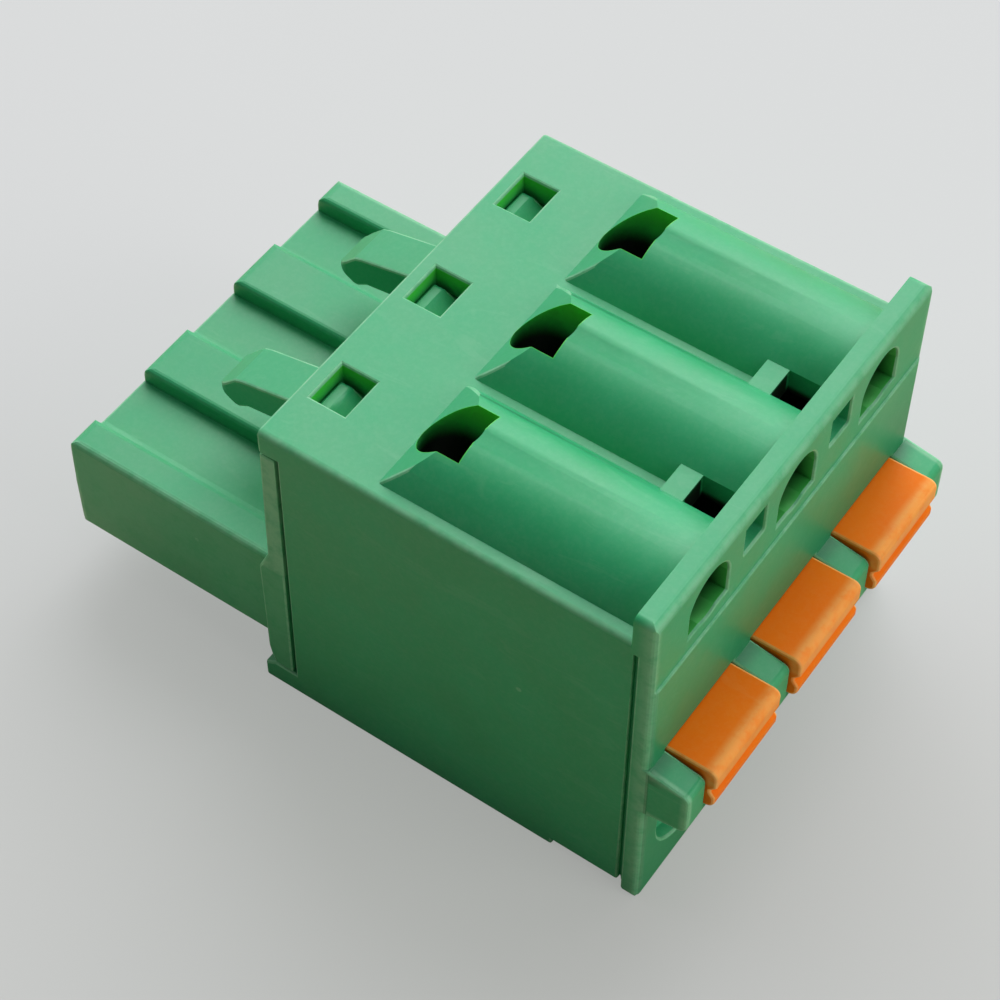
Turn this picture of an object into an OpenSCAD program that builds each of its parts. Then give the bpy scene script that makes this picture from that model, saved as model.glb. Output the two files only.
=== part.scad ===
// Three-pole pluggable terminal block with push-in wire clamps.
// Millimetres. +X runs from the plug nose to the wire face, +Y across the poles, +Z up.
// The origin is the centre of the footprint, on the surface that the plug lies on.

/* [Poles] */
// Distance from one pole to the next
pitch = 5.08; // [5:0.01:5.2]
// Width of one pole's chamber, across the poles
chamber_w = 4; // [3.9:0.01:4.1]

/* [Housing] */
// Length of the housing from its nose end to the back of the flange
body_l = 14; // [13.8:0.1:16]
// Height of the housing's flat top above the base
body_h = 14.3; // [14:0.1:15]
// Thickness of the two side walls
side_wall = 0.92; // [0.7:0.01:1.2]
// Thickness of the top wall over the nose end
top_wall = 1.05; // [0.9:0.05:1.3]
// Thickness of the bottom wall under the nose end
bottom_wall = 1.05; // [1:0.05:1.3]
// How far the bottom wall reaches past the nose end
bottom_lip = 0.84; // [0.3:0.02:0.9]
// Height of the end of that lip
lip_h = 0.75; // [0.5:0.05:0.95]
// Depth of the pocket that takes the contact carrier
pocket_l = 4.05; // [3.8:0.05:4.2]
// Height of the chamber floor above the base
chamber_floor = 1.5; // [1.4:0.05:1.6]
// Height of the chamber ceiling above the base
chamber_top = 12.1; // [11.8:0.1:12.3]
// Thickness of the wall behind the flange that guides the buttons
guide_wall = 1; // [0.8:0.1:1.4]
// Radius of the long upper edges
edge_r = 0.22; // [0.1:0.01:0.3]
// Height of the shallow cut under the housing, behind the flange
foot_gap_h = 0.3; // [0.2:0.05:0.6]
// Length of that cut
foot_gap_l = 2.65; // [1.5:0.05:3.5]

/* [Flange] */
// Thickness of the flange at the wire face
flange_t = 0.9; // [0.8:0.05:1.3]
// Height of the flange above the flat top
flange_rise = 1.5; // [1.45:0.01:2]
// How far the flange stands out beyond the sides
flange_side = 0.12; // [0.05:0.01:0.2]
// Radius of the flange corners, seen along the plug
flange_r = 0.25; // [0.1:0.05:0.4]
// Rounding all round the edge of the wire face
face_r = 0.32; // [0.2:0.02:0.4]
// Height of the step across the wire face, below the flat top
ledge_drop = 1.85; // [1.6:0.05:2.4]
// Depth of that step
ledge_d = 0.08; // [0.03:0.01:0.1]
// Width and depth of the groove between the sides and the flange
groove = 0.2; // [0.1:0.01:0.25]
// Distance from the flat top to the upper end of that groove
groove_drop = 0.35; // [0.2:0.05:0.5]

/* [Barrels] */
// Height of a barrel above the flat top
barrel_rise = 1.42; // [1.3:0.01:1.44]
// Half width of a barrel where it meets the flat top
barrel_half = 2.38; // [2.3:0.01:2.45]
// Distance from the nose end to the foot of the barrel ramps
ramp_x = 4.3; // [4.2:0.05:4.6]
// Length of a ramp
ramp_l = 1.6; // [1.2:0.05:1.8]
// Width of the test opening and its tunnel
probe_w = 2.2; // [1.9:0.05:2.25]
// Height of the tunnel
probe_h = 2.1; // [1.8:0.05:2.1]
// Roof of the tunnel under the barrel crest
probe_roof = 0.54; // [0.45:0.01:0.6]
// Length of the test opening in the top, along the barrel
probe_l = 2.15; // [1.9:0.05:2.3]

/* [Slots between the barrels] */
// Width of a slot in the wire face
slot_w = 1.2; // [1:0.05:1.25]
// Height of a slot
slot_h = 1.35; // [1.1:0.05:1.4]
// How far a slot reaches below the flat top
slot_drop = 0.4; // [0.3:0.05:0.6]
// Radius of a slot's corners
slot_r = 0.1; // [0.05:0.01:0.2]
// Length of the opening behind the flange
slot_l = 1.45; // [1.2:0.05:1.8]
// How much narrower that opening is than the slot, on each side
slot_in = 0.15; // [0.1:0.01:0.2]
// Skin under the flat top, over the hollow between two tunnels
skin = 0.35; // [0.3:0.05:0.4]
// Width of that hollow
hollow_w = 2.3; // [1.8:0.1:2.3]
// Depth of the hollow's floor below the flat top
hollow_d = 1.7; // [1.5:0.1:1.7]
// Length of the hollow
hollow_l = 3; // [2.4:0.1:4]
// Length of the tab in front of it
tab_l = 0.8; // [0.5:0.05:1]
// Width of the tab
tab_w = 1.24; // [1.1:0.02:1.3]
// Height of the tab above the flat top
tab_rise = 0.6; // [0.4:0.05:0.7]

/* [Latches] */
// Length of a latch window along the plug
window_l = 1.35; // [1.2:0.05:1.6]
// Width of a latch window across the plug
window_w = 1.66; // [1.4:0.02:1.9]
// Distance from the nose end to a latch window
window_x = 0.55; // [0.45:0.05:0.7]
// Clearance of a latch along its window
latch_gap = 0.06; // [0.05:0.01:0.15]
// Clearance of a latch at one side of its window, the other side has only the small one
latch_side = 0.18; // [0.1:0.01:0.25]
// Height of a latch above the carrier deck
latch_rise = 0.55; // [0.3:0.05:0.7]
// Rounding of a latch's top
latch_r = 0.2; // [0.1:0.05:0.3]

/* [Wire entry] */
// Height of the wire axis above the base
wire_z = 3.45; // [3.4:0.01:3.5]
// Radius of the funnel at the wire face
funnel_r = 2.1; // [1.9:0.02:2.12]
// Radius of the wire bore
bore_r = 1.5; // [1.3:0.05:1.6]
// Length of the straight mouth in front of the funnel
mouth_l = 0.5; // [0.3:0.05:0.6]
// Length of the funnel
funnel_l = 0.6; // [0.4:0.05:0.7]

/* [Nose] */
// Length of the nose in front of the housing
nose_l = 9.42; // [8.8:0.02:9.8]
// How far the tip leans back from its bottom to its top
tip_lean = 0.25; // [0:0.05:0.3]
// Width of the nose
nose_w = 15.4; // [15.1:0.05:15.6]
// Height of the nose ridges above the base
nose_top = 7; // [6.9:0.05:7.1]
// Height of the nose underside above the base
nose_bottom = 2.3; // [2.2:0.02:2.4]
// Depth of the channels between the ridges
channel_d = 0.7; // [0.4:0.05:0.75]
// Width of a channel floor
channel_w = 2.33; // [2:0.01:2.5]
// Width of a channel's sloped side
channel_slope = 0.45; // [0.2:0.05:0.5]
// How far a channel lies to one side of its pole
channel_shift = 0.22; // [0:0.01:0.4]
// Rounding along the edges of the channels
channel_r = 0.22; // [0.1:0.02:0.24]
// Rounding of the nose tip
tip_r = 0.4; // [0.1:0.05:0.45]
// Thickness of the end wall at the nose tip
tip_wall = 1.05; // [0.9:0.05:1.2]
// Width of a pin entry
pin_w = 2.2; // [1.8:0.05:2.4]
// Height of a pin entry
pin_h = 1.8; // [1.4:0.05:2]
// Depth of the chamfer round a pin entry
pin_chamfer = 0.35; // [0.2:0.05:0.5]

/* [Carrier] */
// Thickness of the carrier plate inside the housing
plate_t = 0.6; // [0.5:0.05:0.6]
// Length of the slit between the plate and the side walls
slit = 0.13; // [0.1:0.01:0.2]
// How far the plate leans forward from its top to its bottom
plate_lean = 0.2; // [0:0.05:0.25]
// How far the lower half of the plate stands forward
step_out = 0.6; // [0.4:0.05:0.7]
// Distance from the nose's top up to the upper end of that step
step_top = 0.7; // [0.5:0.1:0.9]
// Height of the step's slope
step_h = 1; // [0.6:0.1:1.2]
// Height of the rounding at the plate's foot
foot_r = 0.9; // [0.5:0.1:1]
// Clearance between the carrier and the housing
fit = 0.05; // [0.03:0.01:0.06]
// Width of a contact passage, and of the cell behind it
passage_w = 3.2; // [3.1:0.05:3.4]
// Height of a contact passage
passage_h = 2.6; // [2.5:0.05:2.7]
// Thickness of the deck that holds the latches
deck_t = 0.95; // [0.8:0.05:1.1]

/* [Hooks] */
// Half the distance between the two hooks
hook_y = 3.37; // [3.2:0.01:3.5]
// How far the hooks lie to one side
hook_shift = 0.07; // [0:0.01:0.2]
// Width of a hook
hook_w = 1.78; // [1.5:0.02:1.9]
// Length of a hook
hook_l = 5.12; // [4:0.02:5.5]
// Height of the hook's root above the base
hook_z = 9.6; // [9.5:0.05:9.8]
// Thickness of a hook at its root
hook_t = 1.5; // [1.3:0.05:1.6]
// How far a hook slopes down for each millimetre of its length
hook_slope = 0.22; // [0.1:0.01:0.3]
// Length of the hook's bevelled tip
hook_tip = 0.8; // [0.6:0.05:1]
// Thickness of the hook where the bevel begins
hook_tip_t = 1.15; // [1:0.05:1.3]
// How far the hook's tip curls down
hook_curl = 0.25; // [0.1:0.05:0.5]
// Height of the hook's blunt end
hook_end = 0.2; // [0.1:0.05:0.3]
// Rounding of the hook's corners, seen from above
hook_r = 0.4; // [0.2:0.05:0.6]

/* [Button] */
// Height of the button
button_h = 2; // [1.9:0.05:2.1]
// Height of the button's top above the base
button_top = 8.18; // [8.1:0.01:8.25]
// Travel of the button
button_travel = 1.4; // [1:0.1:1.45]
// How far a pressed button still stands out of the wire face
button_rest = 0.45; // [0.35:0.05:0.8]
// Running clearance round the button
button_gap = 0.06; // [0.04:0.01:0.08]
// Depth of the groove across the button's front
groove_d = 0.2; // [0.1:0.01:0.3]
// How far the lip under that groove stands back
lip_back = 0.03; // [0:0.01:0.1]
// Radius of the button's long edges
button_r = 0.32; // [0.2:0.02:0.4]
// Height of the stop that keeps the button in the housing
stop_h = 0.6; // [0.4:0.05:0.7]
// Length of the stop
stop_l = 0.8; // [0.6:0.05:1]
// Width of the button's stem
stem_w = 3; // [2.6:0.1:3.4]
// Height of the button's stem
stem_h = 1.7; // [1.5:0.05:1.8]
// Gap between the stem and the spring's leg while the button is out
stem_gap = 0.07; // [0.05:0.01:0.1]

/* [Cheeks beside the buttons] */
// How far the cheeks stand out of the wire face
cheek_out = 1.52; // [1.2:0.02:1.8]
// Height of the cheeks' top above the base
cheek_top = 8.12; // [8:0.01:8.2]
// Height of the cheeks at the wire face
cheek_h = 2.5; // [2.2:0.05:2.55]
// How far the cheeks' top and bottom slope to the front
cheek_slope = 0.22; // [0.1:0.02:0.3]
// Radius of the cheeks' front edges
cheek_r = 0.32; // [0.2:0.02:0.5]

/* [Contact] */
// Thickness of the contact's sheet
contact_t = 0.4; // [0.35:0.01:0.45]
// Thickness of the current bar
bar_t = 0.4; // [0.35:0.05:0.5]
// Width of the fork
fork_w = 2.4; // [2.2:0.1:2.6]
// Width of the current bar
bar_w = 3; // [2.6:0.1:3.2]
// Opening of the fork at its root
fork_gap = 1.2; // [1.1:0.05:1.2]
// Opening of the fork where it grips the pin
grip_gap = 0.8; // [0.6:0.05:0.9]
// Length of the fork's tines in front of the carrier plate
fork_l = 7.9; // [7:0.1:8.1]
// Where the tines begin to close, as a share of their length
close_at = 0.72; // [0.66:0.01:0.76]
// Where they grip the pin, as a share of their length
grip_at = 0.9; // [0.85:0.01:0.94]
// Distance from the carrier plate to the contact's upright
web_gap = 0.4; // [0.3:0.05:0.6]
// Distance from the current bar's end to the guide wall
bar_short = 0.8; // [0.4:0.1:2]
// Thickness of the steel spring round the fork
overspring_t = 0.2; // [0.15:0.01:0.2]
// Length of that spring
overspring_l = 3.6; // [3:0.1:4.2]
// Distance from that spring to where the tines begin to close
overspring_x = 0.2; // [0.1:0.05:0.5]
// Share of the spring's length and height that its side windows take
overspring_open = 0.6; // [0.4:0.05:0.7]

/* [Clamp spring] */
// Thickness of the spring strip
spring_t = 0.34; // [0.3:0.01:0.36]
// Width of the spring strip
spring_w = 2.8; // [2.4:0.1:3.2]
// Radius of the bend, to the middle of the strip
bend_r = 1.7; // [1.5:0.05:1.8]
// Height of the bend's centre above the base
bend_z = 9.4; // [9.2:0.1:9.8]
// How far the clamping leg's tip lies behind the bend
leg_back = 1.6; // [1.2:0.1:1.9]
// Height of that tip above the current bar
leg_lift = 0.15; // [0.1:0.05:0.4]
// Gap between the carrier and the fixed leg
spring_gap = 0.25; // [0.15:0.05:0.35]

/* [Hidden] */
$fn = 48;
eps = 0.01;
far = 40;                                          // longer than anything in the part
pole_count = 3;
pole_y = [for (i = [0:pole_count - 1]) (i - (pole_count - 1) / 2) * pitch];
valley_y = [for (i = [1:pole_count - 1]) (pole_y[i - 1] + pole_y[i]) / 2];
span_w = (pole_count - 1) * pitch + chamber_w;     // outer faces of the outer chambers
body_w = span_w + 2 * side_wall;
face_x = body_l + flange_t;                        // the wire face
button_out = button_travel + button_rest;
shift_x = -(face_x + button_out - nose_l) / 2;     // moves the nose end of the housing
rib_w = pitch - chamber_w;
guide_x = body_l - guide_wall;                     // front of the chambers
flange_top = body_h + flange_rise;

// Contact passage through the nose, and the current bar under the wire
nose_floor = nose_top - channel_d;
contact_z = (nose_floor + nose_bottom) / 2;
bar_z = chamber_floor + fit;
bar_top = bar_z + bar_t;
plate_bottom = bottom_wall + fit;
plate_top = body_h - top_wall - fit;
block_end = pocket_l - fit;
web_x = plate_t + web_gap;                         // upright web between fork and bar

// Barrel: a circle through both feet and the crest
barrel_r = (pow(barrel_half, 2) + pow(barrel_rise, 2)) / (2 * barrel_rise);
barrel_z = body_h + barrel_rise - barrel_r;
tunnel_top = body_h + barrel_rise - probe_roof;
tunnel_floor = tunnel_top - probe_h;
probe_end = ramp_x + probe_l;

// Button and clamp spring meet at the button's axis
button_w = chamber_w - 2 * button_gap;
button_z = button_top - button_h / 2;
spring_x = pocket_l + spring_gap + spring_t / 2;         // middle of the fixed leg
leg_x = spring_x + 2 * bend_r;                     // middle of the clamping leg at the bend
leg_foot = bar_top + fit;
leg_slope = leg_back / (bend_z - leg_foot);
leg_at_button = leg_x - (bend_z - button_z) * leg_slope + spring_t / 2;
stem_end = leg_at_button + stem_gap;

// ---------- helpers ----------
// Sweeps an outline drawn in Y and Z along X
module along_x(x0, x1)
    translate([x0, 0, 0]) rotate([90, 0, 90]) linear_extrude(x1 - x0) children();

// Sweeps an outline drawn in X and Z along Y, centred on y
module along_y(y, w)
    translate([0, y + w / 2, 0]) rotate([90, 0, 0]) linear_extrude(w) children();

// A box given by its two corners
module block(x0, x1, y0, y1, z0, z1)
    translate([x0, y0, z0]) cube([x1 - x0, y1 - y0, z1 - z0]);

// Rectangle with round corners, from corner a to corner b
module round_rect(a, b, r) {
    translate([a[0] + r, a[1]]) square([b[0] - a[0] - 2 * r, b[1] - a[1]]);
    translate([a[0], a[1] + r]) square([b[0] - a[0], b[1] - a[1] - 2 * r]);
    for (x = [a[0] + r, b[0] - r], y = [a[1] + r, b[1] - r])
        translate([x, y]) circle(r);
}

// Arched opening: flat floor, round top
module arch(w, z0, z1) {
    translate([-w / 2, z0]) square([w, z1 - w / 2 - z0]);
    translate([0, z1 - w / 2]) circle(w / 2);
}

// Points of a quarter round, from angle a to b about c
function arc(c, r, a, b, n = 6) =
    [for (i = [0:n]) c + r * [cos(a + (b - a) * i / n), sin(a + (b - a) * i / n)]];

// Strip of thickness t along a list of points in X and Z
function unit(v) = v / norm(v);
function side_at(p, i) =
    let (d = unit(p[min(i + 1, len(p) - 1)] - p[max(i - 1, 0)])) [-d[1], d[0]];
module strip(p, t)
    polygon(concat([for (i = [0:len(p) - 1]) p[i] + side_at(p, i) * t / 2],
                   [for (i = [len(p) - 1:-1:0]) p[i] - side_at(p, i) * t / 2]));

// ---------- housing ----------
module barrels() {
    for (y = pole_y)
        intersection() {
            along_x(ramp_x - 1, body_l + eps)
                translate([y, barrel_z]) circle(barrel_r, $fn = 96);
            along_y(y, 2 * barrel_half)
                polygon([[ramp_x, body_h - eps], [ramp_x + ramp_l, body_h + barrel_rise],
                         [body_l + eps, body_h + barrel_rise + eps], [body_l + eps, body_h - eps]]);
        }
    for (y = valley_y)
        block(body_l - slot_l - tab_l, body_l + eps, y - tab_w / 2, y + tab_w / 2,
              body_h - eps, body_h + tab_rise);
}

// Rounded all round its front edge, with a lower half that stands a little proud
module flange() {
    half = body_w / 2 + flange_side;
    upper = face_x - ledge_d;
    intersection() {
        along_x(body_l, face_x)
            round_rect([-half, 0], [half, flange_top], flange_r);
        along_y(0, 2 * half + 1)
            polygon(concat(
                [[body_l, flange_top], [body_l, 0]],
                arc([face_x - face_r, face_r], face_r, -90, 0),
                [[face_x, body_h - ledge_drop], [upper, body_h - ledge_drop]],
                arc([upper - face_r, flange_top - face_r], face_r, 0, 90)));
        linear_extrude(flange_top)
            polygon(concat(
                [[body_l, half], [body_l, -half]],
                arc([face_x - face_r, face_r - half], face_r, -90, 0),
                arc([face_x - face_r, half - face_r], face_r, 0, 90)));
    }
}

// Cheeks that stand out of the wire face beside and between the buttons
module cheeks() {
    edge = body_w / 2 + flange_side;
    outer_w = edge - span_w / 2;
    outer_y = edge - outer_w / 2;
    places = concat([[-outer_y, outer_w]], [for (y = valley_y) [y, rib_w]], [[outer_y, outer_w]]);
    front = face_x + cheek_out;
    low = cheek_top - cheek_h;
    r = cheek_r;
    for (p = places)
        along_y(p[0], p[1])
            polygon(concat(
                [[face_x - face_r, low], [face_x - face_r, cheek_top], [face_x, cheek_top]],
                arc([front - r, cheek_top - cheek_slope - r], r, 85, 0),
                arc([front - r, low + cheek_slope + r], r, 0, -75, 4),
                [[face_x, low]]));
}

module chambers() {
    for (y = pole_y) {
        block(pocket_l - eps, guide_x, y - chamber_w / 2, y + chamber_w / 2,
              chamber_floor, chamber_top);
        // way through the guide wall for the button
        block(guide_x - eps, face_x + far, y - chamber_w / 2, y + chamber_w / 2,
              button_top - button_h - button_gap, button_top + button_gap);
        // bore, funnel and mouth for the wire
        translate([guide_x - eps, y, wire_z]) rotate([0, 90, 0])
            cylinder(r = bore_r, h = face_x - guide_x);
        translate([face_x - mouth_l - funnel_l, y, wire_z]) rotate([0, 90, 0])
            cylinder(r1 = bore_r, r2 = funnel_r, h = funnel_l);
        translate([face_x - mouth_l - eps, y, wire_z]) rotate([0, 90, 0])
            cylinder(r = funnel_r, h = mouth_l + 1);
    }
}

module probe_openings() {
    for (y = pole_y) {
        along_x(probe_end - eps, face_x + 1)
            translate([y, 0]) arch(probe_w, tunnel_floor, tunnel_top);
        // opening in the top, round towards the nose and square towards the flange
        translate([probe_end - probe_l + probe_w / 2, y, chamber_top - eps])
            cylinder(d = probe_w, h = flange_top);
        block(probe_end - probe_l + probe_w / 2, probe_end, y - probe_w / 2, y + probe_w / 2,
              chamber_top - eps, flange_top + 1);
    }
    for (y = valley_y) {
        along_x(body_l - slot_l, face_x + 1)
            round_rect([y - slot_w / 2, body_h - slot_drop],
                       [y + slot_w / 2, body_h - slot_drop + slot_h], slot_r);
        block(body_l - slot_l, body_l, y - slot_w / 2 + slot_in, y + slot_w / 2 - slot_in,
              body_h - hollow_d, flange_top + 1);
        block(body_l - hollow_l, body_l, y - hollow_w / 2, y + hollow_w / 2,
              body_h - hollow_d, body_h - skin);
    }
}

module latch_windows() {
    for (y = pole_y)
        block(window_x, window_x + window_l, y - window_w / 2, y + window_w / 2,
              body_h - top_wall - eps, body_h + 1);
}

module housing() color("mediumseagreen") translate([shift_x, 0, 0])
    difference() {
        union() {
            along_x(0, body_l + eps) intersection() {
                round_rect([-body_w / 2, -1], [body_w / 2, body_h], edge_r);
                translate([-body_w / 2, 0]) square([body_w, body_h]);
            }
            along_y(0, body_w)
                polygon([[eps, 0], [-bottom_lip, 0], [-bottom_lip, lip_h],
                         [-bottom_lip / 2, bottom_wall], [eps, bottom_wall]]);
            barrels();
            flange();
            cheeks();
        }
        // pocket for the contact carrier, and the notch in the side walls for its plate
        block(-far, pocket_l, -span_w / 2, span_w / 2, bottom_wall, body_h - top_wall);
        along_y(0, 2 * body_w)
            polygon([[-far, bottom_wall], [-far, body_h - top_wall],
                     [plate_t + slit, body_h - top_wall],
                     [plate_t - plate_lean + slit, bottom_wall]]);
        chambers();
        probe_openings();
        latch_windows();
        for (s = [-1, 1])
            block(body_l, body_l + groove, s * body_w / 2 - groove, s * body_w / 2 + groove,
                  -1, body_h - groove_drop);
        block(body_l - foot_gap_l, body_l, -body_w, body_w, -1, foot_gap_h);
    }

// ---------- contact carrier ----------
// Cross-section of the nose: flat bands with one channel for each pole
function channel(y) =
    let (low = y + channel_shift - channel_w / 2, high = y + channel_shift + channel_w / 2,
         r = channel_r, top = low - channel_slope)
    concat([[top - r / 2, nose_top], [top + r / 3, nose_top - r / 2],
            [low - r / 2, nose_floor + r / 4], [low + r / 2, nose_floor], [high, nose_floor]],
           arc([high + r, nose_top - r], r, 180, 90, 4));
module nose_outline() {
    r = channel_r;
    half = nose_w / 2;
    polygon(concat(
        arc([-half + r, nose_bottom + r], r, 270, 180, 4),
        arc([-half + r, nose_top - r], r, 180, 90, 4),
        [for (y = pole_y, p = channel(y)) p],
        arc([half - r, nose_top - r], r, 90, 0, 4),
        arc([half - r, nose_bottom + r], r, 0, -90, 4)));
}

// The nose, with a tip that is round at its corners
module nose() {
    r = tip_r;
    tip = -nose_l;
    intersection() {
        along_x(tip, plate_t) nose_outline();
        along_y(0, nose_w + 1)
            polygon(concat([[plate_t, nose_bottom], [plate_t, nose_top]],
                           arc([tip + tip_lean + r, nose_top - r], r, 90, 180, 4),
                           arc([tip + r, nose_bottom + r], r, 180, 270, 4)));
        linear_extrude(nose_top)
            polygon(concat([[plate_t, -nose_w / 2], [plate_t, nose_w / 2]],
                           arc([tip + r, nose_w / 2 - r], r, 90, 180, 4),
                           arc([tip + r, r - nose_w / 2], r, 180, 270, 4)));
    }
}

// Side view of the plate that closes the nose end of the housing.
// It leans, stands forward round the root of the nose and draws back at its foot.
module plate_outline() {
    lean_at_hook = plate_lean * (plate_top - hook_z) / (plate_top - plate_bottom);
    polygon([[plate_t - plate_lean, plate_bottom], [plate_t, plate_top], [0, plate_top],
             [-lean_at_hook - fit, hook_z], [-lean_at_hook - 2 * fit, nose_top + step_top],
             [-step_out, nose_top + step_top - step_h], [-step_out, plate_bottom + foot_r],
             [-0.87 * step_out, plate_bottom + foot_r / 2], [-0.6 * step_out, plate_bottom]]);
}

// Four-sided lead-in for a pin at the nose tip
module pin_entry(y) {
    tip = -nose_l;
    flare = pin_chamfer + eps;
    intersection() {
        along_y(y, pin_w + 2 * flare)
            polygon([[tip - eps, contact_z - pin_h / 2 - flare], [tip - eps, contact_z + pin_h / 2 + flare],
                     [tip + pin_chamfer, contact_z + pin_h / 2], [tip + tip_wall + eps, contact_z + pin_h / 2],
                     [tip + tip_wall + eps, contact_z - pin_h / 2], [tip + pin_chamfer, contact_z - pin_h / 2]]);
        translate([0, y, 0]) linear_extrude(nose_top)
            polygon([[tip - eps, -pin_w / 2 - flare], [tip - eps, pin_w / 2 + flare],
                     [tip + pin_chamfer, pin_w / 2], [tip + tip_wall + eps, pin_w / 2],
                     [tip + tip_wall + eps, -pin_w / 2], [tip + pin_chamfer, -pin_w / 2]]);
    }
}

// Coding hook over the nose: it slopes down, and its tip is bevelled above and curls down
module hook(y) {
    soft = 0.1;                                    // small flats that blunt the corners
    knee = hook_tip - hook_l;                      // where the bevel begins
    knee_z = hook_z + hook_t + knee * hook_slope;
    end_z = knee_z - hook_tip;                     // lower end of the bevel
    low_z = knee_z - hook_tip_t;
    intersection() {
        along_y(y, hook_w)
            polygon([[eps, hook_z], [eps, hook_z + hook_t],
                     [knee + 3 * soft, knee_z + 3 * soft * hook_slope], [knee, knee_z - soft / 2],
                     [-hook_l + soft, end_z + soft / 2], [-hook_l, end_z - soft / 2],
                     [-hook_l, end_z - hook_end], [knee - soft, low_z - hook_curl],
                     [knee + soft, low_z - hook_curl], [knee + 5 * soft, low_z]]);
        translate([0, 0, hook_z - far / 2]) linear_extrude(far)
            round_rect([-hook_l - eps, y - hook_w / 2], [1, y + hook_w / 2], hook_r);
    }
}

// Latch of the carrier in its window in the housing: steep at the nose end, sloped behind
module latch(y) {
    back = window_x + latch_gap;
    front = window_x + window_l - latch_gap;
    top = plate_top + latch_rise;
    intersection() {
        along_y(y, window_w)
            polygon([[back, plate_top - eps], [back, top - latch_r / 2], [back + latch_r / 2, top],
                     [back + 2 * latch_r, top], [front, plate_top - eps]]);
        along_x(back, front)
            round_rect([y - window_w / 2 + fit, plate_top - 1],
                       [y + window_w / 2 - latch_side, top], latch_r);
    }
}

module contact_carrier() color("mediumseagreen") translate([shift_x, 0, 0])
    difference() {
        union() {
            nose();
            along_y(0, body_w - 2 * eps) plate_outline();
            block(plate_t - eps, block_end, -span_w / 2 + fit, span_w / 2 - fit, plate_bottom, plate_top);
            for (s = [-1, 1]) hook(hook_shift + s * hook_y);
            for (y = pole_y) latch(y);
        }
        for (y = pole_y) {
            // passage for the fork, and the cell behind the plate
            block(-nose_l + tip_wall, plate_t + eps, y - passage_w / 2, y + passage_w / 2,
                  contact_z - passage_h / 2, contact_z + passage_h / 2);
            block(plate_t, far, y - passage_w / 2, y + passage_w / 2, chamber_floor, plate_top - deck_t);
            pin_entry(y);
        }
    }

// ---------- buttons ----------
// Side view of the button's head: a rounded ridge, a groove under it and a lip.
// The groove lies a little under the middle of the head.
module head_outline() {
    front = face_x + button_out;
    back = guide_x - fit - stop_l;
    r = button_r;
    top = button_top;
    bottom = button_top - button_h;
    groove_z = bottom + 0.44 * button_h;
    wide = 0.16 * button_h;                        // from the groove to the flat of the ridge
    lip = front - lip_back;
    polygon(concat(
        [[back, bottom], [back, top]],
        arc([front - r, top - r], r, 90, 0),
        [[front, groove_z + wide], [front - groove_d, groove_z + wide / 4],
         [front - groove_d, groove_z - wide / 4], [lip, groove_z - wide]],
        arc([lip - r, bottom + r], r, 0, -90)));
}

module push_button(y) color("chocolate") translate([shift_x, 0, 0]) {
    along_y(y, button_w) head_outline();
    // stem that pushes the clamping leg
    along_y(y, stem_w) {
        translate([stem_end + stem_h / 2, button_z]) circle(stem_h / 2);
        translate([stem_end + stem_h / 2, button_z - stem_h / 2])
            square([guide_x - fit - stop_l / 2 - stem_end - stem_h / 2, stem_h]);
    }
    // stop behind the guide wall
    block(guide_x - fit - stop_l, guide_x - fit, y - button_w / 2, y + button_w / 2,
          button_top - eps, button_top + stop_h);
}

// ---------- contacts ----------
// One tine of the fork, s = 1 above the pin and s = -1 below it
module tine(s)
    strip([[web_x, contact_z + s * (fork_gap + contact_t) / 2],
           [-fork_l * close_at, contact_z + s * (fork_gap + contact_t) / 2],
           [-fork_l * grip_at, contact_z + s * (grip_gap + contact_t) / 2],
           [-fork_l, contact_z + s * (fork_gap + contact_t) / 2]], contact_t);

module contact(y) color("silver") translate([shift_x, 0, 0]) {
    along_y(y, fork_w) {
        tine(1);
        tine(-1);
        translate([web_x, bar_z]) square([contact_t, contact_z + fork_gap / 2 + contact_t - bar_z]);
    }
    along_y(y, bar_w) translate([web_x, bar_z]) square([guide_x - bar_short - web_x, bar_t]);
}

// Steel clip round both tines
module overspring(y) color("lightsteelblue") translate([shift_x, 0, 0]) {
    inner_h = fork_gap + 2 * contact_t + 2 * fit;
    inner_w = fork_w + 2 * fit;
    start = -fork_l * close_at + overspring_x;
    difference() {
        along_x(start, start + overspring_l) translate([y, contact_z])
            square([inner_w + 2 * overspring_t, inner_h + 2 * overspring_t], center = true);
        along_x(start - 1, start + overspring_l + 1) translate([y, contact_z])
            square([inner_w, inner_h], center = true);
        // windows in the two sides
        translate([start + overspring_l / 2, y, contact_z])
            cube([overspring_l * overspring_open, inner_w + 1, inner_h * overspring_open],
                 center = true);
    }
}

// ---------- clamp springs ----------
module clamp_spring(y) color("lightsteelblue") translate([shift_x, 0, 0])
    along_y(y, spring_w)
        strip(concat([[spring_x, leg_foot]],
                     arc([spring_x + bend_r, bend_z], bend_r, 180, 0, 16),
                     [[leg_x - leg_back, leg_foot + leg_lift]]), spring_t);

housing();
contact_carrier();
for (i = [0:pole_count - 1]) {
    push_button(pole_y[i]);
    contact(pole_y[i]);
    overspring(pole_y[i]);
    clamp_spring(pole_y[i]);
}
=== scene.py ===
import math

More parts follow.
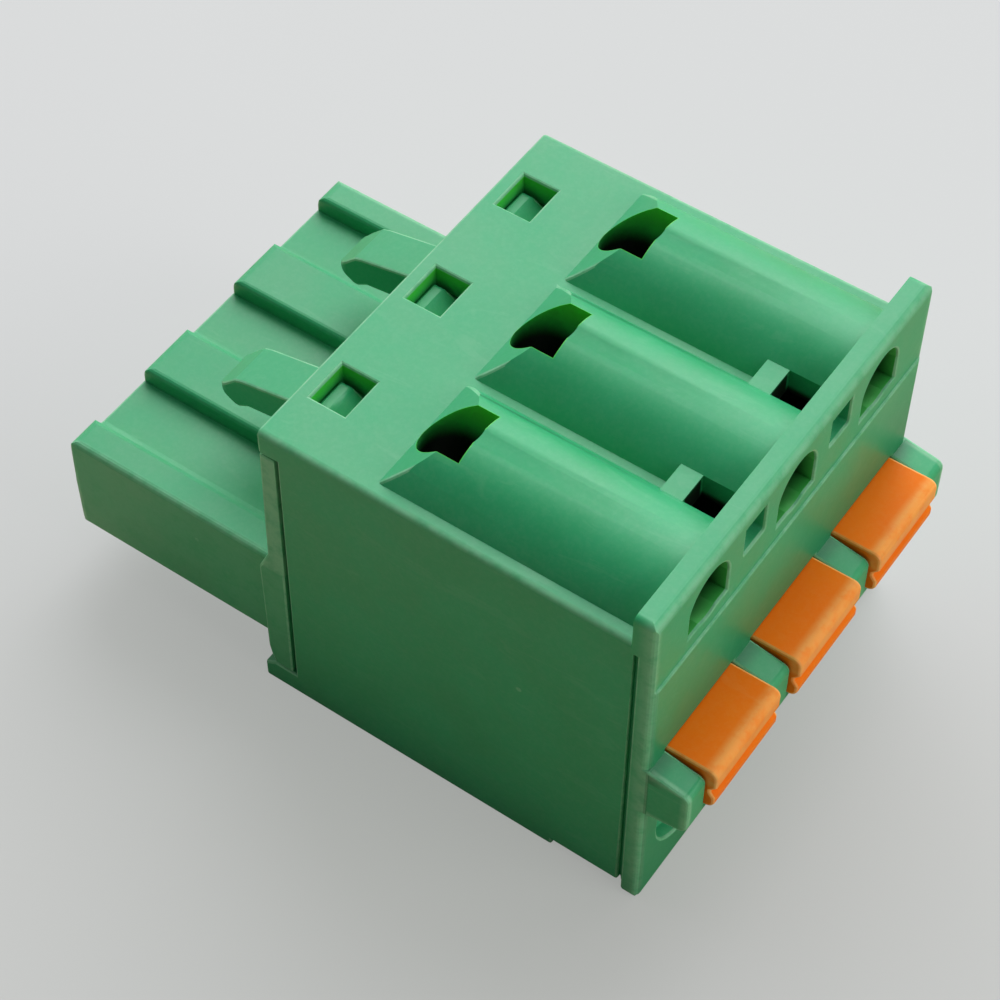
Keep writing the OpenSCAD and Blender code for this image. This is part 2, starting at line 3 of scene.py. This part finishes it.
import bpy
from mathutils import Euler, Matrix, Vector


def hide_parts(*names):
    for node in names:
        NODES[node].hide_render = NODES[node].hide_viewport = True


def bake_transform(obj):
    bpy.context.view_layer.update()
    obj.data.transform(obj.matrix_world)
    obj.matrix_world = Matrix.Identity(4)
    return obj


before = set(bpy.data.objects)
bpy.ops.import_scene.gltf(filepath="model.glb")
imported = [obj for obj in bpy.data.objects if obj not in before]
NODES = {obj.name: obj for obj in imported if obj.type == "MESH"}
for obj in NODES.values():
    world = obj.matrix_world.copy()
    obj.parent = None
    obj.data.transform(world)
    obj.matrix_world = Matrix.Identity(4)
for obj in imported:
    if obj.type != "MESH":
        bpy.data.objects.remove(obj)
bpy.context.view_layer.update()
scene = bpy.context.scene
scene.view_settings.view_transform = "Standard"
MM = 0.001

# ---------- sizes of the part that the camera and the looks follow, mm ----------
PITCH = 5.08
SHIFT_X = -3.665                        # nose end of the housing in the frame
TOP = 14.3                              # flat top of the housing
SIDE = 8.0                              # side of the housing
FACE_X = SHIFT_X + 14.9                 # wire face, the front of the flange
FLANGE_X = SHIFT_X + 14.0               # back of the flange
FLANGE_TOP = 15.8
CHEEK_FRONT = FACE_X + 1.52
CHEEK_TOP = 8.12
CHEEK_BOTTOM = 5.62
BUTTON_FRONT = FACE_X + 1.85
BUTTON_TOP = 8.18
TIP_X = SHIFT_X - 9.42                  # nose tip
NOSE_TOP = 7.0
NOSE_SIDE = 7.7
WIRE_Z = 3.45                           # middle of the wire entries


# ---------- camera ----------
CAMERA_PLACE = Vector((34.854 + SHIFT_X, -44.793, 76.601)) * MM
CAMERA_AZIMUTH = math.radians(34.839)
CAMERA_ELEVATION = math.radians(52.715)

camera_data = bpy.data.cameras.new("camera")
camera_data.sensor_width = 36.0
camera_data.lens = 92.70
camera_data.clip_start = 0.005
camera_data.clip_end = 5.0
camera = bpy.data.objects.new("camera", camera_data)
scene.collection.objects.link(camera)
camera.location = CAMERA_PLACE
camera.rotation_euler = Euler((math.pi / 2 - CAMERA_ELEVATION, 0.0, CAMERA_AZIMUTH), "XYZ")
scene.camera = camera


# ---------- small helpers for node trees ----------
class Graph:
    """A node tree, with one call per node."""

    def __init__(self, tree):
        self.nodes = tree.nodes
        self.links = tree.links

    def join(self, source, target):
        self.links.new(source, target)

    def feed(self, socket, value):
        if isinstance(value, bpy.types.NodeSocket):
            self.join(value, socket)
        else:
            socket.default_value = value

    def math(self, operation, a, b=0.0):
        node = self.nodes.new("ShaderNodeMath")
        node.operation = operation
        self.feed(node.inputs[0], a)
        self.feed(node.inputs[1], b)
        return node.outputs[0]

    def vector(self, operation, a, b=(0.0, 0.0, 0.0)):
        node = self.nodes.new("ShaderNodeVectorMath")
        node.operation = operation
        self.feed(node.inputs[0], a)
        self.feed(node.inputs[1], b)
        return node.outputs["Value" if operation == "DOT_PRODUCT" else "Vector"]

    def split(self, vector):
        node = self.nodes.new("ShaderNodeSeparateXYZ")
        self.join(vector, node.inputs[0])
        return node.outputs

    def product(self, *factors):
        result = factors[0]
        for factor in factors[1:]:
            result = self.math("MULTIPLY", result, factor)
        return result

    def highest(self, *values):
        result = values[0]
        for value in values[1:]:
            result = self.math("MAXIMUM", result, value)
        return result

    def smooth(self, value, low, high, start=0.0, end=1.0):
        """From start at low to end at high; high may be the smaller of the two."""
        node = self.nodes.new("ShaderNodeMapRange")
        node.interpolation_type = "SMOOTHSTEP"
        node.inputs["From Min"].default_value = low
        node.inputs["From Max"].default_value = high
        node.inputs["To Min"].default_value = start
        node.inputs["To Max"].default_value = end
        self.join(value, node.inputs["Value"])
        return node.outputs["Result"]


class Look(Graph):
    """A material's node tree; the places that its marks name are in mm."""

    def __init__(self, name):
        self.material = bpy.data.materials.new(name)
        self.material.use_nodes = True
        super().__init__(self.material.node_tree)
        self.shader = self.nodes["Principled BSDF"]
        self.output = self.nodes["Material Output"]
        self.place = self.nodes.new("ShaderNodeTexCoord").outputs["Object"]

    def noise(self, scale, detail, roughness, distortion=0.0, stretch=None):
        node = self.nodes.new("ShaderNodeTexNoise")
        node.inputs["Scale"].default_value = scale
        node.inputs["Detail"].default_value = detail
        node.inputs["Roughness"].default_value = roughness
        node.inputs["Distortion"].default_value = distortion
        place = self.place
        if stretch:
            mapping = self.nodes.new("ShaderNodeMapping")
            mapping.inputs["Scale"].default_value = stretch
            self.join(self.place, mapping.inputs["Vector"])
            place = mapping.outputs["Vector"]
        self.join(place, node.inputs["Vector"])
        return node.outputs["Fac"]

    def ramp(self, value, first, second):
        """A smooth change between two stops, each a position and a level."""
        node = self.nodes.new("ShaderNodeValToRGB")
        node.color_ramp.interpolation = "EASE"
        for point, (position, level) in zip(node.color_ramp.elements, (first, second)):
            point.position = position
            point.color = (level, level, level, 1)
        self.join(value, node.inputs["Fac"])
        return node.outputs["Color"]

    def mix(self, factor, a, b, mode="MIX"):
        node = self.nodes.new("ShaderNodeMix")
        node.data_type = "RGBA"
        node.blend_type = mode
        self.feed(node.inputs["Factor"], factor)
        self.feed(node.inputs["A"], a)
        self.feed(node.inputs["B"], b)
        return node.outputs["Result"]

    def bump(self, height, strength, distance, below=None):
        node = self.nodes.new("ShaderNodeBump")
        node.inputs["Strength"].default_value = strength
        node.inputs["Distance"].default_value = distance
        self.join(height, node.inputs["Height"])
        if below is not None:
            self.join(below, node.inputs["Normal"])
        return node.outputs["Normal"]

    def surface(self, kind, colour):
        node = self.nodes.new(kind)
        self.feed(node.inputs["Color"], colour)
        return node.outputs[0]

    def rise(self, value, low, high):
        """0 at low, 1 at high; a high under low turns it round."""
        return self.smooth(value, low * MM, high * MM)

    def above(self, value, limit):
        return self.math("GREATER_THAN", value, limit * MM)

    def below(self, value, limit):
        return self.math("LESS_THAN", value, limit * MM)

    def within(self, value, low, high):
        return self.product(self.above(value, low), self.below(value, high))

    def length(self, a, b):
        squares = self.math("ADD", self.product(a, a), self.product(b, b))
        return self.math("SQRT", squares)

    def fleck(self, x, z, middle, radius):
        """1 at the point middle, seen along Y, and 0 beyond radius."""
        across = self.math("SUBTRACT", x, middle[0] * MM)
        up = self.math("SUBTRACT", z, middle[1] * MM)
        return self.rise(self.length(across, up), radius, radius / 2)

    def axes(self):
        """X, Y without its sign, Z, and the distance across to the nearest pole."""
        x, y, z = self.split(self.place)
        y = self.math("ABSOLUTE", y)
        outer = self.math("ABSOLUTE", self.math("SUBTRACT", y, PITCH * MM))
        return x, y, z, self.math("MINIMUM", y, outer)


# ---------- places on the moulded pieces where painted light, painted shade and pale flecks go, mm ---
HOLE_X = SHIFT_X + 5.4                  # middle of the round end of a test hole
HOLE_START = SHIFT_X + 4.2
HOLE_END = SHIFT_X + 6.47
HOLE_R = 1.12
WINDOW_START = SHIFT_X + 0.5            # latch windows
WINDOW_END = SHIFT_X + 1.92
WINDOW_HALF = 0.85
TUNNEL_START = SHIFT_X + 7.0            # test tunnels, from the hole to the wire face
TUNNEL_END = FACE_X - 0.16
TUNNEL_HALF = 1.3
TUNNEL_FLOOR = TOP - 1.7
TUNNEL_ROOF = TOP + 0.9
HOLLOW_START = FACE_X - 3.1             # hollow between two tunnels, behind the flange
HOLLOW_END = FACE_X - 0.95
HOLLOW_FLOOR = TOP - 1.8
OPENING_START = SHIFT_X + 12.53         # opening over that hollow
OPENING_END = SHIFT_X + 14.02
OPENING_EDGE = 2.07                     # its side, from the nearest pole
SIDE_FLECK = (SHIFT_X + 9.96, 8.4)      # X and Z of a pale fleck on the housing's side
NOSE_FLECK = (SHIFT_X - 3.635, 5.5)     # the same on the nose
FACE_DARK = 0.28                        # how much the foot of the wire face darkens
ROOT_DARK = 0.4                         # the same where ribs and cheeks leave it
FLANK_PAINTED_LIGHT = 0.28                       # how much paler the nose's flank is painted: painted light
TUNNEL_SHINE = 0.6                      # how much light the tunnel walls let through


def hole_distance(look, x, pole):
    """Distance from the middle line of a test hole, which is round at its nose end only."""
    before = look.highest(look.math("SUBTRACT", HOLE_X * MM, x), 0.0)
    return look.length(before, pole)


def in_tunnel(look, x, z, pole):
    """The inside of the test tunnels."""
    return look.product(look.within(x, TUNNEL_START, TUNNEL_END), look.below(pole, TUNNEL_HALF),
                        look.within(z, TUNNEL_FLOOR, TUNNEL_ROOF))


def housing_shine(look):
    """Where light comes through the thin walls of test holes, latch windows and tunnels."""
    x, _, z, pole = look.axes()
    hole = look.product(look.within(x, HOLE_START, HOLE_END),
                        look.below(hole_distance(look, x, pole), HOLE_R - 0.005),
                        look.rise(z, TOP - 1.3, TOP + 1.3))
    window = look.product(look.within(x, WINDOW_START, WINDOW_END),
                          look.below(pole, WINDOW_HALF), look.rise(z, TOP - 1.1, TOP + 0.1),
                          look.within(z, TOP - 3.0, TOP - 0.06))
    return look.highest(hole, window, look.product(in_tunnel(look, x, z, pole), TUNNEL_SHINE))


def housing_highlights_and_flecks(look):
    """Painted highlights on the flange's rim, the long top edges and the cheeks' edges; a pale
    fleck on each side.
    """
    x, y, z, _ = look.axes()
    rim = look.product(look.rise(x, FACE_X - 0.4, FACE_X - 0.1),
                       look.rise(z, FLANGE_TOP - 0.4, FLANGE_TOP - 0.1))
    edge = look.product(look.rise(x, FACE_X - 0.85, FACE_X - 0.1),
                        look.rise(y, SIDE - 0.25, SIDE + 0.08))
    flange = look.product(look.below(x, FACE_X + 0.02), look.highest(rim, edge))
    top_edge = look.product(look.rise(y, SIDE - 0.25, SIDE - 0.1),
                            look.rise(z, TOP - 0.2, TOP - 0.05), look.below(x, FACE_X - 1.0))
    cheek_edges = look.highest(look.rise(x, CHEEK_FRONT - 0.37, CHEEK_FRONT - 0.1),
                               look.rise(z, CHEEK_TOP - 0.4, CHEEK_TOP - 0.14),
                               look.rise(z, CHEEK_BOTTOM + 0.4, CHEEK_BOTTOM + 0.1))
    cheek = look.product(look.above(x, FACE_X + 0.05), look.rise(y, SIDE - 0.16, SIDE - 0.04),
                         cheek_edges)
    return look.highest(flange, top_edge, cheek, look.fleck(x, z, SIDE_FLECK, 0.13))


def housing_dark(look):
    """Places that little light reaches: deep in the holes, tunnels and openings, and less so the
    foot of the wire face and the roots of its ribs."""
    x, y, z, pole = look.axes()
    between_poles = look.below(y, PITCH)
    deep = look.product(in_tunnel(look, x, z, pole), look.rise(x, FACE_X, FACE_X - 1.0))
    shaft = look.product(look.within(x, HOLE_START, HOLE_END + 0.13),
                         look.below(hole_distance(look, x, pole), HOLE_R + 0.005),
                         look.rise(z, TOP + 0.15, TOP - 0.85))
    hollow = look.product(look.within(x, HOLLOW_START, HOLLOW_END),
                          look.above(pole, TUNNEL_HALF), look.rise(z, TOP - 0.02, TOP - 0.3),
                          look.within(z, HOLLOW_FLOOR, TOP), between_poles)
    opening = look.product(look.within(x, OPENING_START, OPENING_END),
                           look.above(pole, OPENING_EDGE), look.rise(z, TOP + 0.64, TOP + 0.44),
                           between_poles)
    face = look.product(look.within(x, FACE_X - 0.06, FACE_X + 0.06), look.rise(z, 13.0, 8.3),
                        FACE_DARK)
    root = look.product(look.rise(x, FACE_X + 0.7, FACE_X + 0.02), look.above(x, FACE_X + 0.01),
                        look.within(z, 7.6, 8.3), ROOT_DARK)
    return look.highest(deep, shaft, hollow, opening, face, root)


def housing_marks(look):
    """The housing's three masks, in the order that moulded takes them."""
    return housing_shine(look), housing_highlights_and_flecks(look), housing_dark(look)


def carrier_marks(look):
    """The contact carrier's nose: painted highlights on the tip and the upper side edges, painted
    light that pales the flanks, and a pale fleck on each side.
    """
    x, y, z, _ = look.axes()
    tip_edges = look.highest(look.rise(y, NOSE_SIDE - 0.5, NOSE_SIDE - 0.1),
                             look.rise(z, NOSE_TOP - 0.5, NOSE_TOP - 0.2))
    tip = look.product(look.rise(x, TIP_X + 0.5, TIP_X + 0.2), tip_edges)
    side = look.product(look.rise(y, NOSE_SIDE - 0.3, NOSE_SIDE - 0.08),
                        look.rise(z, NOSE_TOP - 0.25, NOSE_TOP - 0.05))
    flank = look.product(look.rise(y, NOSE_SIDE - 0.3, NOSE_SIDE - 0.1), FLANK_PAINTED_LIGHT)
    return None, look.highest(tip, side, flank, look.fleck(x, z, NOSE_FLECK, 0.12)), None


def button_marks(look):
    """A painted highlight along the front edge of a button's top."""
    x, _, z, _ = look.axes()
    front = look.product(look.rise(x, BUTTON_FRONT - 0.6, BUTTON_FRONT - 0.25),
                         look.rise(z, BUTTON_TOP - 0.93, BUTTON_TOP - 0.58))
    return None, front, None


# ---------- materials ----------
DARK = (0.002, 0.008, 0.003, 1)
GRAIN_SHARE = 0.06                      # how far fine grain pales the colour
SCUFF_SHARE = 0.06
CORNER_SHARE = 0.6
CLOUD_ROUGH = 0.12                      # how much roughness changes from cloud to cloud
GRAIN_ROUGH = 0.15                      # the same along the grain of metal


def moulded(name, colours, roughness, gloss, edge_highlight=0.0, marks=None):
    """Moulded polyamide: cloudy colour, satin skin and fine scuffs; the edge share paints a pale
    highlight on rounded edges.

    marks gives three masks or None for each: painted glow where light shines through, painted
    highlights with pale flecks, and painted shade."""
    base, deep, pale, vivid, spread = colours
    look = Look(name)
    shader = look.shader
    cloud = look.ramp(look.noise(scale=260.0, detail=4.0, roughness=0.6), (0.3, 0.0), (0.7, 1.0))
    colour = look.mix(cloud, deep, base)
    grain = look.noise(scale=5200.0, detail=2.0, roughness=0.7)
    fine = look.ramp(grain, (0.35, 0.0), (0.75, 1.0))
    colour = look.mix(look.product(fine, GRAIN_SHARE), colour, pale)
    streaks = look.noise(scale=900.0, detail=3.0, roughness=0.65, distortion=1.5,
                         stretch=(0.25, 1.0, 1.0))
    scuff = look.ramp(streaks, (0.60, 0.0), (0.68, 1.0))
    colour = look.mix(look.product(scuff, SCUFF_SHARE), colour, pale)

    shine, corner, dark = marks(look) if marks else (None, None, None)
    patches = look.noise(scale=1500.0, detail=3.0, roughness=0.7)
    patchiness = look.ramp(patches, (0.3, 0.45), (0.6, 1.0))
    if shine is not None:
        colour = look.mix(shine, colour, vivid)
    # painted highlights, and pale flecks, from the marks
    if corner is not None:
        colour = look.mix(look.product(patchiness, corner, CORNER_SHARE), colour, pale)
    # painted highlight on the rounded edges of the edge materials
    if edge_highlight:
        colour = look.mix(look.product(patchiness, edge_highlight), colour, pale)
    if dark is not None:
        colour = look.mix(dark, colour, DARK)
    look.join(colour, shader.inputs["Base Color"])

    rough = look.math("ADD", roughness - CLOUD_ROUGH / 2, look.product(cloud, CLOUD_ROUGH))
    look.join(rough, shader.inputs["Roughness"])
    shader.inputs["IOR"].default_value = 1.5
    shader.inputs["Specular IOR Level"].default_value = gloss
    shader.inputs["Subsurface Weight"].default_value = 0.12
    shader.inputs["Subsurface Radius"].default_value = spread
    shader.inputs["Subsurface Scale"].default_value = 0.0004
    swell = look.noise(scale=420.0, detail=2.0, roughness=0.5)
    waves = look.bump(swell, strength=0.2, distance=0.00005)
    skin = look.bump(grain, strength=0.10, distance=0.000012, below=waves)
    look.join(skin, shader.inputs["Normal"])
    return look.material


def metal(name, base, roughness, stretch):
    """Rolled and plated sheet with a fine grain along the strip."""
    look = Look(name)
    shader = look.shader
    shader.inputs["Metallic"].default_value = 1.0
    grain = look.noise(scale=1800.0, detail=3.0, roughness=0.6, stretch=stretch)
    tone = look.ramp(grain, (0.3, 0.75), (0.7, 1.0))
    look.join(look.mix(1.0, base, tone, "MULTIPLY"), shader.inputs["Base Color"])
    rough = look.math("ADD", roughness, look.product(grain, GRAIN_ROUGH))
    look.join(rough, shader.inputs["Roughness"])
    look.join(look.bump(grain, strength=0.15, distance=0.00001), shader.inputs["Normal"])
    return look.material


# base, deeper clouds, pale (grain, scuffs and painted highlights), painted glow lit from behind,
# and how far each colour spreads inside
GREEN = ((0.025, 0.377, 0.154, 1), (0.021, 0.343, 0.131, 1), (0.28, 0.60, 0.37, 1),
         (0.070, 0.620, 0.045, 1), (0.15, 1.0, 0.25))
ORANGE = ((1.000, 0.210, 0.004, 1), (0.990, 0.180, 0.003, 1), (1.00, 0.50, 0.14, 1),
          (1.00, 0.30, 0.01, 1), (1.0, 0.4, 0.1))
green = moulded("green_plastic", GREEN, roughness=0.44, gloss=0.46, marks=housing_marks)
# the edge materials are paler on their rounded edges: a painted highlight
green_edge = moulded("green_edge", GREEN, roughness=0.40, gloss=0.45, edge_highlight=0.6)
carrier = moulded("carrier_plastic", GREEN, roughness=0.44, gloss=0.46, marks=carrier_marks)
orange = moulded("orange_plastic", ORANGE, roughness=0.42, gloss=0.08, marks=button_marks)
# the same painted highlight on the buttons' rounded edges
orange_edge = moulded("orange_edge", ORANGE, roughness=0.36, gloss=0.30, edge_highlight=0.85)
tin = metal("tinned_contact", (0.78, 0.77, 0.73, 1), 0.22, (1.0, 6.0, 6.0))
steel = metal("spring_steel", (0.55, 0.55, 0.56, 1), 0.28, (6.0, 1.0, 6.0))


# ---------- rounded edges on the moulded pieces ----------
EDGE_ANGLE = math.radians(58)           # outer edges turned by more than this are rounded
EDGE_WIDTH = 0.00009                    # m
EDGE_SEGMENTS = 2
WELD_DISTANCE = 0.000002                # m
FLAT_ANGLE = math.radians(0.5)

# Boxes without rounding, where it would leave hairlines or spikes: centre and half size in mm,
# with Y taken without its sign.
CHEEK_ROOTS = [((FACE_X - 0.1, SIDE, CHEEK_TOP), (0.32, 0.6, 0.16)),
               ((FACE_X - 0.1, SIDE, CHEEK_BOTTOM), (0.32, 0.6, 0.3))]
TUNNELS = [((SHIFT_X + 8.95, y, 13.5), (4.75, 1.3, 2.6)) for y in (0.0, PITCH)]
HOLLOWS = [((SHIFT_X + 12.6, PITCH / 2, 13.6), (1.75, 0.9, 1.5))]
FLANGE_BACK = [((FLANGE_X, 4.0, 15.2), (0.12, 5.0, 0.95))]
FLANGE_FRONT = [((FACE_X - 0.05, 0.0, 15.5), (0.2, 9.0, 0.28))]
WIRE_BORES = [((SHIFT_X + 13.0, 4.0, WIRE_Z), (0.5, 5.0, 2.4))]
NOSE_RIDGES = [((SHIFT_X - 4.7, 0.0, 6.7), (4.4, 9.0, 0.28))]


def edge_weights(name, keep_out):
    """Node group that marks the outer edges to be rounded, outside the boxes in keep_out."""
    group = bpy.data.node_groups.new(name, "GeometryNodeTree")
    for way in ("INPUT", "OUTPUT"):
        group.interface.new_socket("Geometry", in_out=way, socket_type="NodeSocketGeometry")
    graph = Graph(group)
    angle = graph.nodes.new("GeometryNodeInputMeshEdgeAngle").outputs["Signed Angle"]
    weight = graph.math("GREATER_THAN", angle, EDGE_ANGLE)
    x, y, z = graph.split(graph.nodes.new("GeometryNodeInputPosition").outputs[0])
    place = graph.nodes.new("ShaderNodeCombineXYZ")
    for socket, value in zip(place.inputs, (x, graph.math("ABSOLUTE", y), z)):
        graph.join(value, socket)
    for centre, half in keep_out:
        away = graph.vector("SUBTRACT", place.outputs[0], Vector(centre) * MM)
        share = graph.vector("DIVIDE", graph.vector("ABSOLUTE", away), Vector(half) * MM)
        outside = graph.math("GREATER_THAN", graph.highest(*graph.split(share)), 1.0)
        weight = graph.product(weight, outside)
    store = graph.nodes.new("GeometryNodeStoreNamedAttribute")
    store.data_type = "FLOAT"
    store.domain = "EDGE"
    store.inputs["Name"].default_value = "bevel_weight_edge"
    graph.join(graph.nodes.new("NodeGroupInput").outputs[0], store.inputs["Geometry"])
    graph.join(weight, store.inputs["Value"])
    graph.join(store.outputs[0], graph.nodes.new("NodeGroupOutput").inputs[0])
    return group


def soften(obj, edge_material, marked):
    """A small true rounding on each marked edge, in a material of its own."""
    weld = obj.modifiers.new("weld", "WELD")
    weld.merge_threshold = WELD_DISTANCE
    plane = obj.modifiers.new("plane", "DECIMATE")
    plane.decimate_type = "DISSOLVE"
    plane.angle_limit = FLAT_ANGLE
    obj.modifiers.new("mark", "NODES").node_group = marked
    bevel = obj.modifiers.new("round", "BEVEL")
    bevel.width = EDGE_WIDTH
    bevel.segments = EDGE_SEGMENTS
    bevel.limit_method = "WEIGHT"
    bevel.use_clamp_overlap = False
    obj.data.materials.append(edge_material)
    bevel.material = 1


house_edges = edge_weights("house_edges", CHEEK_ROOTS + TUNNELS + HOLLOWS + FLANGE_BACK
                           + FLANGE_FRONT + WIRE_BORES)
plain_edges = edge_weights("plain_edges", NOSE_RIDGES)


def material_of(name):
    """A node's material, and its edge material and edge marks when it is moulded."""
    if name == "housing":
        return green, green_edge, house_edges
    if name == "contact_carrier":
        return carrier, green_edge, plain_edges
    if name.startswith("button"):
        return orange, orange_edge, plain_edges
    if name.startswith("contact"):
        return tin, None, None
    return steel, None, None


for name, node in NODES.items():
    material, edge_material, marked = material_of(name)
    node.data.materials.clear()
    node.data.materials.append(material)
    if marked:
        soften(node, edge_material, marked)


# ---------- clamp springs: bent strips built in place of the imported springs -----
SPRING_X = SHIFT_X + 4.47               # middle of the fixed leg
SPRING_FOOT = 2.0
SPRING_BEND = (SHIFT_X + 6.17, 9.4, 1.7)     # middle and radius of the bend
SPRING_TIP = (SHIFT_X + 6.27, 2.15)
SPRING_T = 0.34
SPRING_W = 2.8
FIXED_STEPS = 8
BEND_STEPS = 28
FREE_STEPS = 12


def spring_line():
    """Middle line of a strip: up the fixed leg, round the bend and down the free leg."""
    bend_x, bend_z, bend_r = SPRING_BEND
    rise = bend_z - SPRING_FOOT
    fixed = [(SPRING_X, SPRING_FOOT + rise * i / FIXED_STEPS) for i in range(FIXED_STEPS)]
    turn = [math.pi * (1 - i / BEND_STEPS) for i in range(BEND_STEPS + 1)]
    bend = [(bend_x + bend_r * math.cos(a), bend_z + bend_r * math.sin(a)) for a in turn]
    end_x, end_z = bend[-1]
    run, drop = SPRING_TIP[0] - end_x, SPRING_TIP[1] - end_z
    free = [(end_x + run * i / FREE_STEPS, end_z + drop * i / FREE_STEPS)
            for i in range(1, FREE_STEPS + 1)]
    return fixed + bend + free


def clamp_spring(number, middle):
    """One strip with its fixed leg at the nose end, in place of the imported clamp spring, which is
    hidden.
    """
    line = spring_line()
    points = []
    for i, (x, z) in enumerate(line):
        before, after = line[max(i - 1, 0)], line[min(i + 1, len(line) - 1)]
        along = Vector((after[0] - before[0], after[1] - before[1])).normalized()
        for side in (-1, 1):
            for across in (-1, 1):
                points.append(((x - side * along.y * SPRING_T / 2) * MM,
                               (middle + across * SPRING_W / 2) * MM,
                               (z + side * along.x * SPRING_T / 2) * MM))
    faces = [(0, 1, 3, 2), tuple(4 * (len(line) - 1) + i for i in (0, 2, 3, 1))]
    for i in range(len(line) - 1):
        a, b = 4 * i, 4 * i + 4
        faces += [(a, b, b + 1, a + 1), (a + 2, a + 3, b + 3, b + 2),
                  (a, a + 2, b + 2, b), (a + 1, b + 1, b + 3, a + 3)]
    mesh = bpy.data.meshes.new(f"clamp_strip_{number}")
    mesh.from_pydata(points, [], faces)
    mesh.materials.append(steel)
    strip = bpy.data.objects.new(f"clamp_strip_{number}", mesh)
    scene.collection.objects.link(strip)
    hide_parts(f"clamp_spring_{number}")
    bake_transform(strip)


for number, middle in enumerate((-PITCH, 0.0, PITCH), 1):
    clamp_spring(number, middle)


# ---------- floor: a pale sheet of paper ----------
FLOOR_HALF = 3.0                        # m
SHEET_TURN = 0.09                       # its shading, turned from the line of sight, radians
SHEET_NEAR = -0.013                     # where its paleness starts to rise, m
SHEET_FAR = 0.017
NEAR_GLOW = (0.575, 0.590, 0.567, 1)
FAR_GLOW = (0.742, 0.760, 0.757, 1)
GLOW_SHARE = 0.57
SEEN_PAPER = (0.59, 0.587, 0.59, 1)
LIGHTING_PAPER = (0.50, 0.47, 0.33, 1)  # the colour of the light that it throws back


def paper():
    """Paler away from the viewer. More than half of what the camera sees is the sheet's own
    glow, so that the object's shadow on it stays faint."""
    look = Look("paper")
    x, y, _ = look.split(look.place)
    turn = CAMERA_AZIMUTH - SHEET_TURN
    along = look.math("ADD", look.product(x, -math.sin(turn)), look.product(y, math.cos(turn)))
    pale = look.mix(look.smooth(along, SHEET_NEAR, SHEET_FAR), NEAR_GLOW, FAR_GLOW)
    seen = look.nodes.new("ShaderNodeLightPath").outputs["Is Camera Ray"]
    lit = look.surface("ShaderNodeBsdfDiffuse", look.mix(seen, LIGHTING_PAPER, SEEN_PAPER))
    blend = look.nodes.new("ShaderNodeMixShader")
    look.join(look.product(seen, GLOW_SHARE), blend.inputs["Fac"])
    look.join(lit, blend.inputs[1])
    look.join(look.surface("ShaderNodeEmission", pale), blend.inputs[2])
    look.join(blend.outputs[0], look.output.inputs["Surface"])
    look.nodes.remove(look.shader)
    return look.material


corners = [(x * FLOOR_HALF, y * FLOOR_HALF, 0) for x, y in ((-1, -1), (1, -1), (1, 1), (-1, 1))]
floor_mesh = bpy.data.meshes.new("floor")
floor_mesh.from_pydata(corners, [], [(0, 1, 2, 3)])
floor = bpy.data.objects.new("floor", floor_mesh)
scene.collection.objects.link(floor)
floor.data.materials.append(paper())


# ---------- light ----------
def area_lamp(name, place, size, power, colour):
    """A round lamp that looks at the object."""
    data = bpy.data.lights.new(name, "AREA")
    data.energy = power
    data.shape = "DISK"
    data.size = size
    data.color = colour
    lamp = bpy.data.objects.new(name, data)
    scene.collection.objects.link(lamp)
    lamp.location = place
    lamp.rotation_euler = (-Vector(place)).to_track_quat("-Z", "Y").to_euler()


def room_light(bright, dim, towards):
    """A plain white room, brighter in one direction: the side of the window."""
    world = bpy.data.worlds.new("world")
    scene.world = world
    world.use_nodes = True
    graph = Graph(world.node_tree)
    view = graph.nodes.new("ShaderNodeTexCoord").outputs["Generated"]
    side = graph.vector("DOT_PRODUCT", view, Vector(towards).normalized())
    background = graph.nodes["Background"]
    background.inputs["Color"].default_value = (1.0, 1.0, 1.0, 1)
    graph.join(graph.smooth(side, 0.25, 0.85, dim, bright), background.inputs["Strength"])


area_lamp("window", (-0.12, 0.36, 0.42), size=0.5, power=1.85, colour=(0.98, 1.0, 1.04))
area_lamp("room", (0.5, 0.08, 0.22), size=0.4, power=1.15, colour=(1.0, 1.0, 0.96))
room_light(bright=1.55, dim=0.15, towards=(-0.45, 0.80, 0.40))
